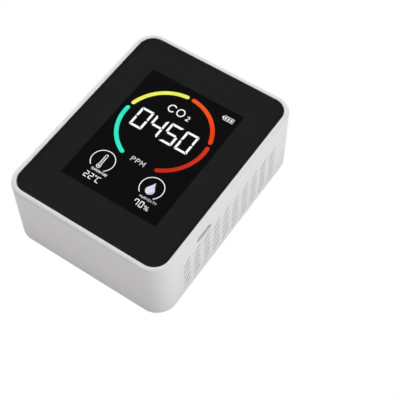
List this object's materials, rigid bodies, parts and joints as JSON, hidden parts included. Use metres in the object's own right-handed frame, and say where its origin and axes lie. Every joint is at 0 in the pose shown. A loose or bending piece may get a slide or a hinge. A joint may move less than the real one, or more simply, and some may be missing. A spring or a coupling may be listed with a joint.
{
  "type": "carbon dioxide monitor",
  "caption": "Desktop air monitor: white rounded case, black glossy front with a lit gauge display, slanted side vents, a charging port and a side button.",
  "frame": {"origin": "under the middle of the body, in the plane of the rear feet", "axes": "+X to the right across the display, +Y up the display, +Z out of the display; it lies on its back"},
  "size_m": [0.072, 0.093, 0.033],
  "materials": {
    "white_abs": "fine satin moulded ABS",
    "button_abs": "satin moulded ABS",
    "silicone_pad": "matte translucent silicone",
    "clear_lens": "polished flat lens",
    "black_print": "black screen print seen through the lens",
    "tape": "double-sided tape",
    "tray_plastic": "bright white moulded tray",
    "guide_acrylic": "clear acrylic with printed dots",
    "milky_film": "milky film",
    "display_film": "near-black polarizing film",
    "display_glass": "thin clear glass",
    "lamp_resin": "pale yellow phosphor",
    "plated_pins": "gold-plated pins",
    "board_laminate": "green solder mask over glass laminate",
    "screw_steel": "zinc-plated steel",
    "chip_epoxy": "moulded epoxy",
    "ferrite": "dark grey ferrite",
    "plated_can": "nickel-plated drawn can",
    "cell_can": "nickel-plated can of the cell",
    "ceramic_chip": "tan ceramic with tinned ends",
    "connector_ivory": "ivory nylon",
    "black_nylon": "black nylon",
    "port_steel": "nickel-plated steel sheet",
    "wrap_film": "blue heat-shrink film",
    "nickel_strip": "spot-welded nickel strip",
    "foam": "closed-cell foam",
    "red_insulation": "red insulation",
    "black_insulation": "black insulation",
    "gold_chamber": "gold-coated moulded chamber",
    "membrane": "white porous membrane",
    "bulb_glass": "clear bulb glass",
    "display_white": "lit display segments",
    "display_teal": "lit display segments",
    "display_yellow": "lit display segments",
    "display_orange": "lit display segments",
    "display_red": "lit display segments"
  },
  "bodies": {
    "case": {"housing": "white_abs", "rear_cover": "white_abs", "cover_screws": "screw_steel", "rubber_feet": "silicone_pad", "front_lens": "clear_lens", "lens_mask": "black_print", "lens_tape": "tape", "backlight_tray": "tray_plastic", "reflector_sheet": "tray_plastic", "light_guide": "guide_acrylic", "backlight_leds": "lamp_resin", "diffuser_sheet": "milky_film", "rear_polarizer": "display_film", "display_rear_glass": "display_glass", "display_front_glass": "display_glass", "front_polarizer": "display_film", "display_pins": "plated_pins", "main_board": "board_laminate", "board_screws": "screw_steel", "microcontroller": "chip_epoxy", "charger_chip": "chip_epoxy", "inductor": "ferrite", "crystal": "plated_can", "capacitors": "ceramic_chip", "climate_sensor": "chip_epoxy", "usb_shell": "port_steel", "usb_tongue": "black_nylon", "switch_body": "black_nylon", "battery_cell": "cell_can", "battery_terminal": "plated_can", "battery_wrap": "wrap_film", "battery_tabs": "nickel_strip", "battery_pad": "foam", "battery_wire_red": "red_insulation", "battery_wire_black": "black_insulation", "battery_socket": "connector_ivory", "battery_plug": "connector_ivory", "sensor_board": "board_laminate", "sensor_headers": "black_nylon", "sensor_pins": "plated_pins", "gas_chamber": "gold_chamber", "chamber_filter": "membrane", "infrared_lamp": "bulb_glass", "infrared_detector": "plated_can"},
    "button": {"power_button": "button_abs"},
    "plunger": {"switch_plunger": "black_nylon"}
  },
  "joints": [
    {"name": "button_press", "type": "slide", "parent": "case", "child": "button", "axis": [1, 0, 0], "range_m": [0, 0.0005], "stiffness_N_per_m": 3000},
    {"name": "plunger_press", "type": "slide", "parent": "case", "child": "plunger", "axis": [1, 0, 0], "range_m": [0, 0.0005]}
  ],
  "couplings": [
    {"joint": "plunger_press", "follows": "button_press", "ratio": 1}
  ]
}
